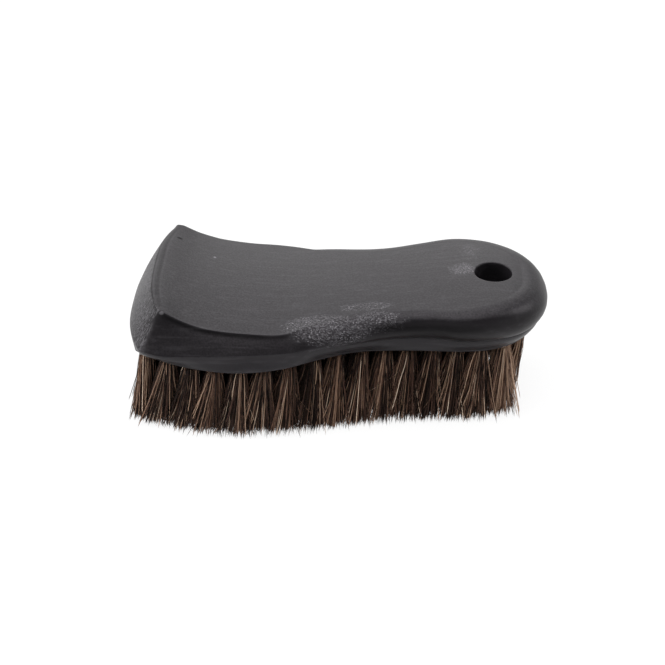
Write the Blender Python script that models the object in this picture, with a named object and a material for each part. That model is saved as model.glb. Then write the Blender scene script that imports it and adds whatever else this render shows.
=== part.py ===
"""Upholstery brush: a two-piece plastic body with a hanging hole, and horsehair tufts set in its sole.

Lengths are in metres. The brush stands on its hair tips at z = 0. +X runs from the square nose to the
round tail, and the XZ plane is the plane of symmetry.
"""

import math
import random

import bmesh
import bpy
import numpy as np
from mathutils import Vector

# Body, seen from above
brush_length = 0.1647
nose_width = 0.0816
waist_width = 0.0496
tail_width = 0.0532

# Body, seen from the side: rises are the top's middle line above the seam
hair_length = 0.029
block_depth = 0.007
nose_rise = 0.0189
waist_rise = 0.0080
tail_rise = 0.0158
crown_drop = 0.0021
crown_run = 0.0223
nose_bulge = 0.0009
shoulder_bulge = 0.0036
shoulder_lift = 0.0024
shoulder_reach = 0.0102
facet_fade = 0.8
front_power = 2.8
rim_offset = 0.0100
sole_offset = 0.0100
sole_edge_radius = 0.0009

# Hanging hole
hole_diameter = 0.0146
hole_to_tail = 0.0219

# Where the two mouldings meet: a low land on the block sits in a recess in the grip
land_height = 0.0020
land_inset = 0.0052

# The pocket in the sole, and the island round the hole
pocket_depth = 0.0040
rim_wall = 0.0024
island_wall = 0.0018

# Tufts
column_pitch = 0.0093
tuft_pitch = 0.0093
tuft_edge = 0.0006
tuft_radius = 0.0014
hair_spread = 0.0100
end_slack = 0.1
root_circle = 0.0017
tip_circle = 0.0032
strand_root_radius = 0.00085
strand_tip_radius = 0.0011
strand_sink = 0.0012
strand_curve = 1.6
strands_per_tuft = 5

# Clearances
fit_gap = 0.0003
seam_gap = 0.0003

# Finish
black = (0.030, 0.030, 0.032)
black_roughness = 0.5
horsehair = (0.045, 0.028, 0.020)
horsehair_roughness = 0.6

# Fineness of the mesh
front_steps = 10
side_steps = 42
flank_steps = 8
cross_steps = 12
hole_sides = 40
edge_turns = (0, 45)
wall_shares = (0, 0.3, 0.65, 1)
strand_shares = (0, 0.5, 1)

seam_z = hair_length + block_depth
half_length = brush_length / 2
hole_radius = hole_diameter / 2
hole_x = half_length - hole_to_tail
island_half = hole_radius + island_wall

# The seam's outline behind the front corner: place along the half length, then the shares of the
# nose, waist and tail half widths that make its own half width there
SEAM = (
    (-0.9476, 0.748, 0.00, 0.000),
    (-0.9114, 0.902, 0.00, 0.000),
    (-0.8340, 0.983, 0.00, 0.000),
    (-0.6640, 1.000, 0.00, 0.000),
    (-0.4438, 0.970, 0.00, 0.000),
    (-0.2488, 0.800, 0.20, 0.000),
    (-0.0789, 0.570, 0.43, 0.000),
    (0.0921, 0.290, 0.71, 0.000),
    (0.2630, 0.050, 0.95, 0.000),
    (0.4329, 0.000, 1.00, 0.000),
    (0.6038, 0.000, 0.00, 1.000),
    (0.7506, 0.000, 0.00, 0.930),
    (0.8663, 0.000, 0.00, 0.738),
    (0.9397, 0.000, 0.00, 0.425),
    (0.9715, 0.000, 0.00, 0.000),
)

# From each seam station to the rim of the top face: to the rear and inwards, as shares of rim_offset,
# and how round the shoulder below it is, from 0 for a flat facet upwards
RIM = (
    (1.12, -0.36, 0.00),
    (0.99, 0.25, 0.00),
    (0.75, 0.56, 0.00),
    (0.20, 0.58, 0.00),
    (0.00, 0.46, 0.00),
    (0.00, 0.35, 0.00),
    (-0.20, 0.57, 0.55),
    (-0.20, 0.60, 0.85),
    (-0.20, 0.35, 1.00),
    (-0.20, 0.07, 1.00),
    (-0.30, 0.05, 1.00),
    (-0.38, 0.20, 1.05),
    (-0.51, 0.29, 1.10),
    (-0.66, 0.22, 1.15),
    (-0.83, 0.00, 1.15),
)

# From each seam station to the edge of the sole: to the rear and inwards, as shares of sole_offset
SOLE = (
    (-0.05, 0.35),
    (0.18, 0.57),
    (0.30, 0.51),
    (0.10, 0.14),
    (0.00, -0.20),
    (0.00, -0.06),
    (0.00, 0.29),
    (0.00, 0.41),
    (0.00, 0.18),
    (0.00, 0.12),
    (0.00, 0.30),
    (-0.15, 0.31),
    (-0.20, 0.32),
    (-0.19, 0.27),
    (-0.18, 0.00),
)

# How far the front tip of the rim and of the sole lie behind the front tip of the seam
rim_setback = 0.0105
sole_setback = 0.0017

# From the sole's edge to the outline of the hair tips, along the half length: outwards, as shares of
# hair_spread
HAIR_SPREAD = (
    (-1.0000, 0.26),
    (-0.8098, 0.04),
    (-0.4278, -0.20),
    (-0.1864, 0.10),
    (0.0649, 0.60),
    (0.2761, 0.45),
    (0.5475, 0.25),
    (0.7989, -0.05),
    (1.0000, -0.70),
)

# The top's middle line: place along the half length, then the shares of the three rises
TOP = (
    (-0.8852, 1.00, 0.00, 0.00),
    (-0.8098, 0.80, 0.20, 0.00),
    (-0.7123, 0.47, 0.53, 0.00),
    (-0.6148, 0.26, 0.74, 0.00),
    (-0.4931, 0.11, 0.89, 0.00),
    (-0.3473, 0.03, 0.97, 0.00),
    (-0.2488, 0.00, 1.00, 0.00),
    (-0.1261, 0.00, 0.90, 0.10),
    (-0.0055, 0.00, 0.75, 0.25),
    (0.2379, 0.00, 0.45, 0.55),
    (0.4209, 0.00, 0.21, 0.79),
    (0.6038, 0.00, 0.045, 0.955),
    (0.7255, 0.00, 0.00, 1.00),
    (0.8230, 0.00, 0.00, 0.97),
    (0.8844, 0.00, 0.00, 0.91),
    (0.9940, 0.00, 0.00, 0.74),
)


def smooth(knots, values, at):
    """A smooth curve through the values at the knots, read at the places given."""
    knots, values, at = (np.asarray(item, float) for item in (knots, values, at))
    steps = np.diff(knots)
    slopes = np.diff(values) / steps
    tangents = np.empty(len(knots))
    tangents[0], tangents[-1] = slopes[0], slopes[-1]
    weight = steps[1:] / (steps[:-1] + steps[1:])
    tangents[1:-1] = weight * slopes[:-1] + (1 - weight) * slopes[1:]
    index = np.clip(np.searchsorted(knots, at, side="right") - 1, 0, len(knots) - 2)
    span = steps[index]
    share = (at - knots[index]) / span
    start = (1 + 2 * share) * (1 - share) ** 2 * values[index]
    leave = share * (1 - share) ** 2 * span * tangents[index]
    end = share**2 * (3 - 2 * share) * values[index + 1]
    arrive = share**2 * (share - 1) * span * tangents[index + 1]
    return start + leave + end + arrive


def half_outline(tip_x, stations):
    """One side of an outline, from its front tip round the corner station to its rear tip."""
    corner_x, corner_w = stations[0]
    share = np.linspace(0, 1, front_steps, endpoint=False)
    front = np.column_stack([tip_x + (corner_x - tip_x) * share**front_power, corner_w * share])
    seam = np.array(seam_stations())
    run = np.concatenate([[0], np.cumsum(np.hypot(*np.diff(seam, axis=0).T))])
    run = np.append(run, 2 * run[-1] - run[-2])
    at = np.linspace(0, run[-2], side_steps + 1)
    before_tip = stations[-2]
    xs = [x for x, _ in stations] + [before_tip[0]]
    ws = [w for _, w in stations] + [-before_tip[1]]
    side = np.column_stack([smooth(run, xs, at), smooth(run, ws, at)])
    side[-1, 1] = 0
    return np.vstack([front, side])


def seam_stations():
    halves = np.array([nose_width, waist_width, tail_width]) / 2
    return [(row[0] * half_length, float(np.dot(row[1:], halves))) for row in SEAM]


def shifted_stations(shares, offset):
    return [(x + row[0] * offset, w - row[1] * offset) for (x, w), row in zip(seam_stations(), shares)]


def loop_of(half, z):
    """Both sides of a half outline as one closed loop, nose first, along the near side and back."""
    z = np.broadcast_to(z, len(half))
    near = np.column_stack([half[:, 0], -half[:, 1], z])
    far = np.column_stack([half[-2:0:-1, 0], half[-2:0:-1, 1], z[-2:0:-1]])
    return np.vstack([near, far])


def outward(half):
    """Unit normals of a half outline, pointing away from the brush, as x and half-width parts."""
    loop = loop_of(half, 0)[:, :2]
    along = np.roll(loop, -1, axis=0) - np.roll(loop, 1, axis=0)
    along /= np.linalg.norm(along, axis=1)[:, None]
    return np.column_stack([along[:, 1], along[:, 0]])[: len(half)]


def inset(half, distance):
    moved = half - np.reshape(distance, (-1, 1)) * outward(half)
    moved[0, 1] = moved[-1, 1] = 0
    return moved


def top_height(x, y):
    """Height of the top face above the seam."""
    rises = np.array([nose_rise, waist_rise, tail_rise])
    middle = smooth([row[0] * half_length for row in TOP], [np.dot(row[1:], rises) for row in TOP], x)
    crown = np.clip((np.asarray(x) - TOP[0][0] * half_length) / crown_run, 0, 1) * crown_drop
    return middle - crown * (np.asarray(y) / (nose_width / 2)) ** 2


def flank_loops(seam_half, rim_half):
    """Loops from the seam up to the top's rim: flat facets at the nose, round shoulders behind."""
    seam_x = [x for x, _ in seam_stations()]
    roundness = np.clip(smooth(seam_x, [row[2] for row in RIM], seam_half[:, 0]), 0, None)
    out = np.column_stack([outward(seam_half), np.zeros(len(seam_half))])
    foot = np.column_stack([seam_half, np.full(len(seam_half), seam_z + seam_gap)])
    rim = np.column_stack([rim_half, seam_z + top_height(rim_half[:, 0], rim_half[:, 1])])
    swell = roundness[:, None]
    fade = np.clip(swell / facet_fade, 0, 1)
    mix = fade**2 * (3 - 2 * fade)
    nose = np.clip(1 - np.arange(len(foot)) / front_steps, 0, 1)[:, None] ** 0.5
    low = foot + swell * (out * shoulder_bulge) + [0, 0, shoulder_lift]
    high = rim + swell * (out * shoulder_reach)
    loops = []
    for share in np.linspace(0, 1, flank_steps + 1):
        straight = foot + (rim - foot) * share + nose * out * nose_bulge * math.sin(math.pi * share)
        curved = (
            (1 - share) ** 3 * foot
            + 3 * (1 - share) ** 2 * share * low
            + 3 * (1 - share) * share**2 * high
            + share**3 * rim
        )
        ring = straight + (curved - straight) * mix
        loops.append(loop_of(ring[:, :2], ring[:, 2]))
    return loops


def add_loop(mesh, points):
    return [mesh.verts.new(point) for point in points]


def join_loops(mesh, lower, upper):
    count = len(lower)
    for index in range(count):
        after = (index + 1) % count
        mesh.faces.new((lower[index], lower[after], upper[after], upper[index]))


def across(mesh, loop, height=None, steps=1):
    """Fills a loop with strips that run across from its near side to its far side."""
    count, half = len(loop), len(loop) // 2
    rows = [[loop[0]]]
    for index in range(1, half):
        near, far = loop[index], loop[count - index]
        row = [near]
        for step in range(1, steps):
            place = near.co.lerp(far.co, step / steps)
            if height:
                place.z = height(place.x, place.y)
            row.append(mesh.verts.new(place))
        rows.append(row + [far])
    rows.append([loop[half]])
    for front, rear in zip(rows, rows[1:]):
        if len(front) == 1:
            for near, far in zip(rear, rear[1:]):
                mesh.faces.new((front[0], near, far))
        elif len(rear) == 1:
            for near, far in zip(front, front[1:]):
                mesh.faces.new((near, rear[0], far))
        else:
            for step in range(len(front) - 1):
                mesh.faces.new((front[step], rear[step], rear[step + 1], front[step + 1]))


def new_object(name, mesh, material):
    """Makes an object of a bmesh, with its faces turned outwards and its round parts smooth."""
    bmesh.ops.recalc_face_normals(mesh, faces=mesh.faces)
    data = bpy.data.meshes.new(name)
    mesh.to_mesh(data)
    mesh.free()
    data.materials.append(material)
    data.shade_smooth()
    data.set_sharp_from_angle(angle=math.radians(32))
    result = bpy.data.objects.new(name, data)
    bpy.context.scene.collection.objects.link(result)
    return result


def plain_material(name, colour, roughness):
    material = bpy.data.materials.new(name)
    material.use_nodes = True
    shader = material.node_tree.nodes["Principled BSDF"]
    shader.inputs["Base Color"].default_value = (*colour, 1)
    shader.inputs["Roughness"].default_value = roughness
    shader.inputs["Metallic"].default_value = 0
    material.diffuse_color = (*colour, 1)
    return material


def cylinder(name, radius, low, high, sides):
    mesh = bmesh.new()
    rings = []
    for z in (low, high):
        turn = [2 * math.pi * step / sides for step in range(sides)]
        rings.append(add_loop(mesh, [(radius * math.cos(a), radius * math.sin(a), z) for a in turn]))
    join_loops(mesh, rings[0], rings[1])
    mesh.faces.new(rings[0][::-1])
    mesh.faces.new(rings[1])
    return new_object(name, mesh, bpy.data.materials["black plastic"])


def box(name, low, high):
    mesh = bmesh.new()
    corners = [(low[0], low[1]), (high[0], low[1]), (high[0], high[1]), (low[0], high[1])]
    bottom = add_loop(mesh, [(x, y, low[2]) for x, y in corners])
    top = add_loop(mesh, [(x, y, high[2]) for x, y in corners])
    join_loops(mesh, bottom, top)
    mesh.faces.new(bottom[::-1])
    mesh.faces.new(top)
    return new_object(name, mesh, bpy.data.materials["black plastic"])


def combine(target, tool, operation):
    """Adds or cuts with a hidden tool object."""
    tool.hide_render = True
    tool.display_type = "WIRE"
    modifier = target.modifiers.new(tool.name, "BOOLEAN")
    modifier.operation = operation
    modifier.solver = "EXACT"
    modifier.object = tool


def make_grip(seam_half, rim_half):
    """The upper moulding: flanks, top face, and the recess below for the block's land."""
    mesh = bmesh.new()
    recess_half = inset(seam_half, land_inset - fit_gap)
    ceiling_z = seam_z + seam_gap + land_height
    ceiling = add_loop(mesh, loop_of(recess_half, ceiling_z))
    mouth = add_loop(mesh, loop_of(recess_half, seam_z + seam_gap))
    across(mesh, ceiling)
    join_loops(mesh, ceiling, mouth)
    below = mouth
    for points in flank_loops(seam_half, rim_half):
        ring = add_loop(mesh, points)
        join_loops(mesh, below, ring)
        below = ring
    across(mesh, below, lambda x, y: seam_z + float(top_height(x, y)), cross_steps)
    return new_object("grip_moulding", mesh, bpy.data.materials["black plastic"])


def wall_loops(seam_half, sole_half):
    """Loops of the block's wall, from the flat of the sole round its small edge up to the seam."""
    edge_z = hair_length + sole_edge_radius
    loops = []
    for turn in edge_turns:
        angle = math.radians(turn)
        ring = inset(sole_half, sole_edge_radius * (1 - math.sin(angle)))
        loops.append(loop_of(ring, edge_z - sole_edge_radius * math.cos(angle)))
    for share in wall_shares:
        ring = sole_half + (seam_half - sole_half) * math.sin(share * math.pi / 2)
        loops.append(loop_of(ring, edge_z + (seam_z - edge_z) * share))
    return loops


def make_block(seam_half, sole_half):
    """The lower moulding: the sole with its pocket, the wall below the seam, and the land on top."""
    mesh = bmesh.new()
    pocket_half = inset(sole_half, rim_wall)
    ceiling = add_loop(mesh, loop_of(pocket_half, hair_length + pocket_depth))
    below = add_loop(mesh, loop_of(pocket_half, hair_length))
    across(mesh, ceiling)
    join_loops(mesh, ceiling, below)
    for points in wall_loops(seam_half, sole_half):
        ring = add_loop(mesh, points)
        join_loops(mesh, below, ring)
        below = ring
    land_half = inset(seam_half, land_inset)
    for z in (seam_z, seam_z + land_height):
        ring = add_loop(mesh, loop_of(land_half, z))
        join_loops(mesh, below, ring)
        below = ring
    across(mesh, below)
    return new_object("tuft_block", mesh, bpy.data.materials["black plastic"])


def column_edges(pocket_half):
    """Places along X where one backing slice ends and the next begins, counted from the hole."""
    front, rear = pocket_half[0, 0], pocket_half[-1, 0]
    ahead = max(1, round((hole_x - front) / column_pitch - end_slack))
    behind = max(1, round((rear - hole_x) / column_pitch + end_slack))
    inner = [hole_x + step * column_pitch for step in range(1 - ahead, behind)]
    return [front - fit_gap] + inner + [rear + fit_gap]


def strip(pocket_half, start, end):
    """The part of a half outline between two places along X."""
    xs, ws = pocket_half[:, 0], pocket_half[:, 1]
    start, end = max(start, xs[0]), min(end, xs[-1])
    inside = [tuple(point) for point in pocket_half if start + 1e-4 < point[0] < end - 1e-4]
    return [(start, float(np.interp(start, xs, ws)))] + inside + [(end, float(np.interp(end, xs, ws)))]


def slice_outline(points, side, inner):
    """A backing slice seen from below: whole, or only the near or far part beyond the island."""
    if side == "whole":
        near = [(x, -w) for x, w in points]
        far = [(x, w) for x, w in reversed(points)]
        outline = near + far
        return [point for step, point in enumerate(outline) if point != outline[step - 1]]
    sign = -1 if side == "near" else 1
    return [(x, sign * w) for x, w in points] + [(points[-1][0], sign * inner), (points[0][0], sign * inner)]


def widest_near(half, x):
    """The widest half width of an outline within a tuft's reach of a place along X."""
    reach = np.linspace(x - tuft_radius, x + tuft_radius, 7)
    return float(np.max(np.interp(reach, half[:, 0], half[:, 1], left=0, right=0)))


def tuft_places(start, end, side, inner, rows_half, tips_half):
    """Roots and tips of a slice's tufts: evenly spaced across, kept inside the outline of the roots."""
    xs, ws = rows_half[:, 0], rows_half[:, 1]
    middle = min(max((start + end) / 2, xs[0]), xs[-1])
    width = widest_near(rows_half, middle)
    if side == "whole":
        count = int(2 * width / tuft_pitch) + 1
        ys = np.linspace(-width, width, count) if count > 1 else np.zeros(1)
    else:
        sign = -1 if side == "near" else 1
        count = int(max(width - inner, 0) / tuft_pitch) + 1
        ys = sign * (np.linspace(inner, width, count) if count > 1 else np.array([max(width, inner)]))
    front = np.interp(np.abs(ys), ws[: front_steps + 1], xs[: front_steps + 1])
    share = (middle - xs[0]) / (xs[-1] - xs[0])
    tip_x = tips_half[0, 0] + share * (tips_half[-1, 0] - tips_half[0, 0])
    stretch = max(widest_near(tips_half, tip_x) / max(width, inner), 1)
    return [((max(middle, float(x)), float(y)), (tip_x, float(y) * stretch)) for x, y in zip(front, ys)]


def add_strand(mesh, root, tip, turn):
    """One three-sided strand that leaves its root straight and leans out towards its tip."""
    top_z = hair_length + strand_sink
    rings = []
    for share in strand_shares:
        lean = share**strand_curve
        x = root[0] + (tip[0] - root[0]) * lean
        y = root[1] + (tip[1] - root[1]) * lean
        radius = strand_root_radius + (strand_tip_radius - strand_root_radius) * share
        corners = [turn + 2 * math.pi * side / 3 for side in range(3)]
        ring = [(x + radius * math.cos(a), y + radius * math.sin(a), top_z * (1 - share)) for a in corners]
        rings.append(add_loop(mesh, ring))
    for upper, lower in zip(rings, rings[1:]):
        join_loops(mesh, lower, upper)
    mesh.faces.new(rings[0])
    mesh.faces.new(rings[-1][::-1])


def add_tuft(mesh, root, tip, dice):
    start = dice.uniform(0, 2 * math.pi)
    for index in range(strands_per_tuft):
        angle = start + 2 * math.pi * index / strands_per_tuft
        out = (math.cos(angle), math.sin(angle))
        strand_root = [root[axis] + root_circle * out[axis] for axis in (0, 1)]
        strand_tip = [tip[axis] + tip_circle * out[axis] for axis in (0, 1)]
        add_strand(mesh, strand_root, strand_tip, angle)


def make_slice(name, points, side, places, dice):
    """A slice of the sole's backing with its tufts, fused into one solid."""
    mesh = bmesh.new()
    outline = slice_outline(points, side, island_half + fit_gap)
    ceiling_z = hair_length + pocket_depth - fit_gap
    bottom = add_loop(mesh, [(x, y, hair_length) for x, y in outline])
    top = add_loop(mesh, [(x, y, ceiling_z) for x, y in outline])
    join_loops(mesh, bottom, top)
    mesh.faces.new(bottom[::-1])
    mesh.faces.new(top)
    backing = new_object(name, mesh, bpy.data.materials["dark horsehair"])
    hair = bmesh.new()
    for root, tip in places:
        add_tuft(hair, root, tip, dice)
    combine(backing, new_object(name + ".strands", hair, bpy.data.materials["dark horsehair"]), "UNION")


def make_tufts(sole_half):
    """One slice for each column of tufts, split in two where the island is in the way."""
    pocket_half = inset(sole_half, rim_wall + fit_gap)
    rows_half = inset(sole_half, rim_wall + fit_gap + root_circle + strand_root_radius + tuft_edge)
    spread = smooth(
        [row[0] * half_length for row in HAIR_SPREAD],
        [row[1] * hair_spread for row in HAIR_SPREAD],
        sole_half[:, 0],
    )
    tips_half = inset(sole_half, tip_circle + strand_tip_radius - spread)
    edges = column_edges(pocket_half)
    dice = random.Random(7)
    strands = 0
    for number, (start, end) in enumerate(zip(edges, edges[1:]), start=1):
        points = strip(pocket_half, start + fit_gap / 2, end - fit_gap / 2)
        split = start < hole_x + island_half and end > hole_x - island_half
        for side in ("near", "far") if split else ("whole",):
            inner = island_half + fit_gap + root_circle + strand_root_radius + tuft_edge
            places = tuft_places(start, end, side, inner, rows_half, tips_half)
            ending = "" if side == "whole" else "_" + side
            name = f"tuft_column_{number:02d}{ending}"
            make_slice(name, points, side, places, dice)
            strands += strands_per_tuft * len(places)
    print("strands", strands)


def main():
    for item in list(bpy.data.objects):
        bpy.data.objects.remove(item)
    plain_material("black plastic", black, black_roughness)
    plain_material("dark horsehair", horsehair, horsehair_roughness)
    seam_half = half_outline(-half_length, seam_stations())
    rim_half = half_outline(-half_length + rim_setback, shifted_stations(RIM, rim_offset))
    sole_half = half_outline(-half_length + sole_setback, shifted_stations(SOLE, sole_offset))
    grip = make_grip(seam_half, rim_half)
    block = make_block(seam_half, sole_half)
    island_low = (hole_x - column_pitch + fit_gap / 2, -island_half, hair_length)
    island_high = (hole_x + column_pitch - fit_gap / 2, island_half, hair_length + pocket_depth + fit_gap)
    combine(block, box("island", island_low, island_high), "UNION")
    top_z = seam_z + tail_rise
    bore = cylinder("hanging_hole", hole_radius, hair_length / 2, top_z + hole_diameter, hole_sides)
    bore.location = Vector((hole_x, 0, 0))
    combine(block, bore, "DIFFERENCE")
    combine(grip, bore, "DIFFERENCE")
    make_tufts(sole_half)


main()
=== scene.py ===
"""Upholstery brush: a moulded black plastic body and tufts of dark horsehair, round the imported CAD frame.

Lengths are in metres, apart from those named in mm. The brush stands on its hair tips at z = 0, with
its square nose towards -X and its round tail and hanging hole towards +X. The body's outlines are the
CAD model's, sampled finer. Both sides are alike; the near side is the one at -Y.
"""

import math

import bpy
import numpy as np
from mathutils import Matrix, Vector


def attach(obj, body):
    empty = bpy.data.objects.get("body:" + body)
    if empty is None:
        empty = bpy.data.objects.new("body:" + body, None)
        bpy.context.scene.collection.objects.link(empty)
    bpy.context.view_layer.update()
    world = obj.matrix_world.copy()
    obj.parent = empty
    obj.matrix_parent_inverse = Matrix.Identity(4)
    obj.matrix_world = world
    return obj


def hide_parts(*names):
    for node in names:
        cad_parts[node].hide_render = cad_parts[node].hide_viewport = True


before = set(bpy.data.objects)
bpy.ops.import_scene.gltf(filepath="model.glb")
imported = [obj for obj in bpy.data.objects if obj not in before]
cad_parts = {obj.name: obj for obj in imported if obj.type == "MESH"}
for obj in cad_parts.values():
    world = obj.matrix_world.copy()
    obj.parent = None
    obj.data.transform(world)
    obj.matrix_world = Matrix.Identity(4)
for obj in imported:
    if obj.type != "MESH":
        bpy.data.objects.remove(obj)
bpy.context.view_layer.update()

# The body, as in the CAD model
half_length = 0.08235
nose_width, waist_width, tail_width = 0.0816, 0.0496, 0.0532
hair_length = 0.029
seam_z = 0.036
nose_rise, waist_rise, tail_rise = 0.0189, 0.0080, 0.0158
crown_drop, crown_run = 0.0021, 0.0223
nose_bulge = 0.0009
shoulder_bulge, shoulder_lift, shoulder_reach, facet_fade = 0.0036, 0.0024, 0.0102, 0.8
front_power = 2.8
rim_offset, sole_offset, hair_spread = 0.0100, 0.0100, 0.0100
rim_setback, sole_setback = 0.0105, 0.0017
hole_x, hole_radius = 0.06045, 0.0073

# The middle line that the rows across the body head for: where it starts, and how far before the
# hole's middle it ends
middle_start_x, middle_end_gap = -0.046, 0.020

# The tufts, as in the CAD model. The insets run from the outline of the pocket and from that of the
# hair tips to the middle of an outer tuft
rim_wall, island_half, fit_gap = 0.0024, 0.0091, 0.0003
column_pitch, tuft_pitch, tuft_radius, end_slack = 0.0093, 0.0093, 0.0014, 0.1
root_inset, tip_inset = 0.00315, 0.0043

# Forms finer than the CAD model's
seam_gap, lip_inset, lip_drop = 0.00002, 0.00003, 0.00001
sole_edge_radius = 0.0009
hole_fillet = 0.0005
bevel_width = 0.0014
cove_depth, cove_place = 0.00050, 0.0012

# The tip of the far nose corner: how far its rounding reaches along it and down, and its shift
tip_reach, tip_depth, tip_shift = 0.0022, 0.0010, (-0.0005, 0.0, 0.0003)

# Rounds of smoothing: along the creases, over the nose's bevel and at the corners
crease_rounds, bevel_rounds, grip_corner_rounds, block_corner_rounds = 10, 8, 90, 12

# Steps along the outlines: the first one, the coarsest one, and how far the first one holds
front_steps = (0.006, 0.024, 0.06)
side_steps = (0.0002, 0.0008, 0.0024)

# Rows of the grip: below it from the hole to the seam, up its flank, and across its top
UNDER_PARTS = (1.0, 0.6, 0.3, 0.12)
FLANK_MM = (0, 0.2, 0.4, 0.6, 0.8, 1.0, 1.25, 1.5, 1.8, 2.2, 2.7, 3.3, 4.0, 4.8)
FLANK_PARTS = (0.86, 0.72, 0.58, 0.44, 0.31, 0.20, 0.12, 0.06, 0.025, 0.008)
TOP_MM = (0.2, 0.4, 0.6, 0.8, 1.0, 1.25, 1.6, 2.1, 2.8, 3.6, 4.6, 5.8, 7.2)
TOP_PARTS = (0.40, 0.52, 0.64, 0.76, 0.86, 0.93, 0.97, 1.0)

# Rows of the block: across the sole, round its edge, up the wall, and back to the hole
SOLE_PARTS = (1.0, 0.75, 0.5, 0.25, 0.1)
SOLE_TURNS = (0, 15, 30, 45, 60, 75)
WALL_SHARES = (0, 0.1, 0.2, 0.3, 0.42, 0.54, 0.66, 0.78, 0.88, 0.95, 0.985, 0.996)
SEAT_PARTS = (0.004, 0.12, 0.3, 0.6, 1.0)

# The seam's outline behind the front corner: place along the half length, then the shares of the
# nose, waist and tail half widths that make its own half width there
SEAM = (
    (-0.9476, 0.748, 0.00, 0.000),
    (-0.9114, 0.902, 0.00, 0.000),
    (-0.8340, 0.983, 0.00, 0.000),
    (-0.6640, 1.000, 0.00, 0.000),
    (-0.4438, 0.970, 0.00, 0.000),
    (-0.2488, 0.800, 0.20, 0.000),
    (-0.0789, 0.570, 0.43, 0.000),
    (0.0921, 0.290, 0.71, 0.000),
    (0.2630, 0.050, 0.95, 0.000),
    (0.4329, 0.000, 1.00, 0.000),
    (0.6038, 0.000, 0.00, 1.000),
    (0.7506, 0.000, 0.00, 0.930),
    (0.8663, 0.000, 0.00, 0.738),
    (0.9397, 0.000, 0.00, 0.425),
    (0.9715, 0.000, 0.00, 0.000),
)

# From each seam station to the rim of the top face: to the rear and inwards, as shares of rim_offset,
# and how round the shoulder below it is, from 0 for a flat facet upwards
RIM = (
    (1.12, -0.36, 0.00),
    (0.99, 0.25, 0.00),
    (0.75, 0.56, 0.00),
    (0.20, 0.58, 0.00),
    (0.00, 0.46, 0.00),
    (0.00, 0.35, 0.00),
    (-0.20, 0.57, 0.55),
    (-0.20, 0.60, 0.85),
    (-0.20, 0.35, 1.00),
    (-0.20, 0.07, 1.00),
    (-0.30, 0.05, 1.00),
    (-0.38, 0.20, 1.05),
    (-0.51, 0.29, 1.10),
    (-0.66, 0.22, 1.15),
    (-0.83, 0.00, 1.15),
)

# From each seam station to the edge of the sole: to the rear and inwards, as shares of sole_offset
SOLE = (
    (-0.05, 0.35),
    (0.18, 0.57),
    (0.30, 0.51),
    (0.10, 0.14),
    (0.00, -0.20),
    (0.00, -0.06),
    (0.00, 0.29),
    (0.00, 0.41),
    (0.00, 0.18),
    (0.00, 0.12),
    (0.00, 0.30),
    (-0.15, 0.31),
    (-0.20, 0.32),
    (-0.19, 0.27),
    (-0.18, 0.00),
)

# From the sole's edge to the outline of the hair tips, along the half length: outwards, as shares of
# hair_spread
HAIR_SPREAD = (
    (-1.0000, 0.26),
    (-0.8098, 0.04),
    (-0.4278, -0.20),
    (-0.1864, 0.10),
    (0.0649, 0.60),
    (0.2761, 0.45),
    (0.5475, 0.25),
    (0.7989, -0.05),
    (1.0000, -0.70),
)

# The top's middle line: place along the half length, then the shares of the three rises
TOP = (
    (-0.8852, 1.00, 0.00, 0.00),
    (-0.8098, 0.80, 0.20, 0.00),
    (-0.7123, 0.47, 0.53, 0.00),
    (-0.6148, 0.26, 0.74, 0.00),
    (-0.4931, 0.11, 0.89, 0.00),
    (-0.3473, 0.03, 0.97, 0.00),
    (-0.2488, 0.00, 1.00, 0.00),
    (-0.1261, 0.00, 0.90, 0.10),
    (-0.0055, 0.00, 0.75, 0.25),
    (0.2379, 0.00, 0.45, 0.55),
    (0.4209, 0.00, 0.21, 0.79),
    (0.6038, 0.00, 0.045, 0.955),
    (0.7255, 0.00, 0.00, 1.00),
    (0.8230, 0.00, 0.00, 0.97),
    (0.8844, 0.00, 0.00, 0.91),
    (0.9940, 0.00, 0.00, 0.74),
)

# Marks on the plastic: centre and reach in mm, the share of the reach that is core, and the strength
WORN_PATCH = (
    ((11, -19.6, 47), (16, 4.2, 6), 0.40, 0.7),
    ((-4, -29, 41.5), (23, 9, 8), 0.45, 1.0),
    ((15, -27, 45), (18, 7, 7), 0.10, 1.0),
)
SCUFF = (
    ((48.6, 2.6, 51.3), (8, 7, 6), 0.30, 1.0),
    ((52, 17, 51), (8, 14, 6), 0.10, 0.45),
)
# The middle row is a pale speck; the first and last rows are painted highlights, on the near front corner
# and along the near crease
SPECK_AND_HIGHLIGHTS = (
    ((-66.2, -34.2, 51.2), (1.2, 1.0, 1.0), 0.35, 0.60),
    ((-50.9, 16.7, 46.6), (0.8, 0.8, 2.0), 0.35, 0.60),
    ((-37, -33, 48.5), (14, 2.4, 4), 0.10, 0.09),
)
# A small dark spot on the top, near the nose on the far side
DARK_SPOTS = (((-65.5, 22.3, 52.0), (1.4, 0.9, 2.0), 0.60, 1.0),)

# Colours of the plastic and of its painted light and shade, and of the hair from its darkest tone to its
# lightest
BLACKS = ((0.35, (0.0062, 0.0055, 0.0063)), (0.70, (0.0091, 0.0081, 0.0092)))
WEAR_AND_HIGHLIGHT_BLACK = (0.190, 0.182, 0.196, 1)
PAINTED_LIGHT_BLACK = (0.100, 0.097, 0.103, 1)
SHADE_AND_SPOT_BLACK = (0.002, 0.002, 0.002, 1)
HAIR_COLOURS = (
    (0.00, (0.004, 0.002, 0.0015)),
    (0.35, (0.017, 0.010, 0.007)),
    (0.62, (0.066, 0.036, 0.027)),
    (0.82, (0.160, 0.090, 0.060)),
    (0.94, (0.400, 0.265, 0.185)),
    (1.00, (0.620, 0.490, 0.380)),
)

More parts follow.
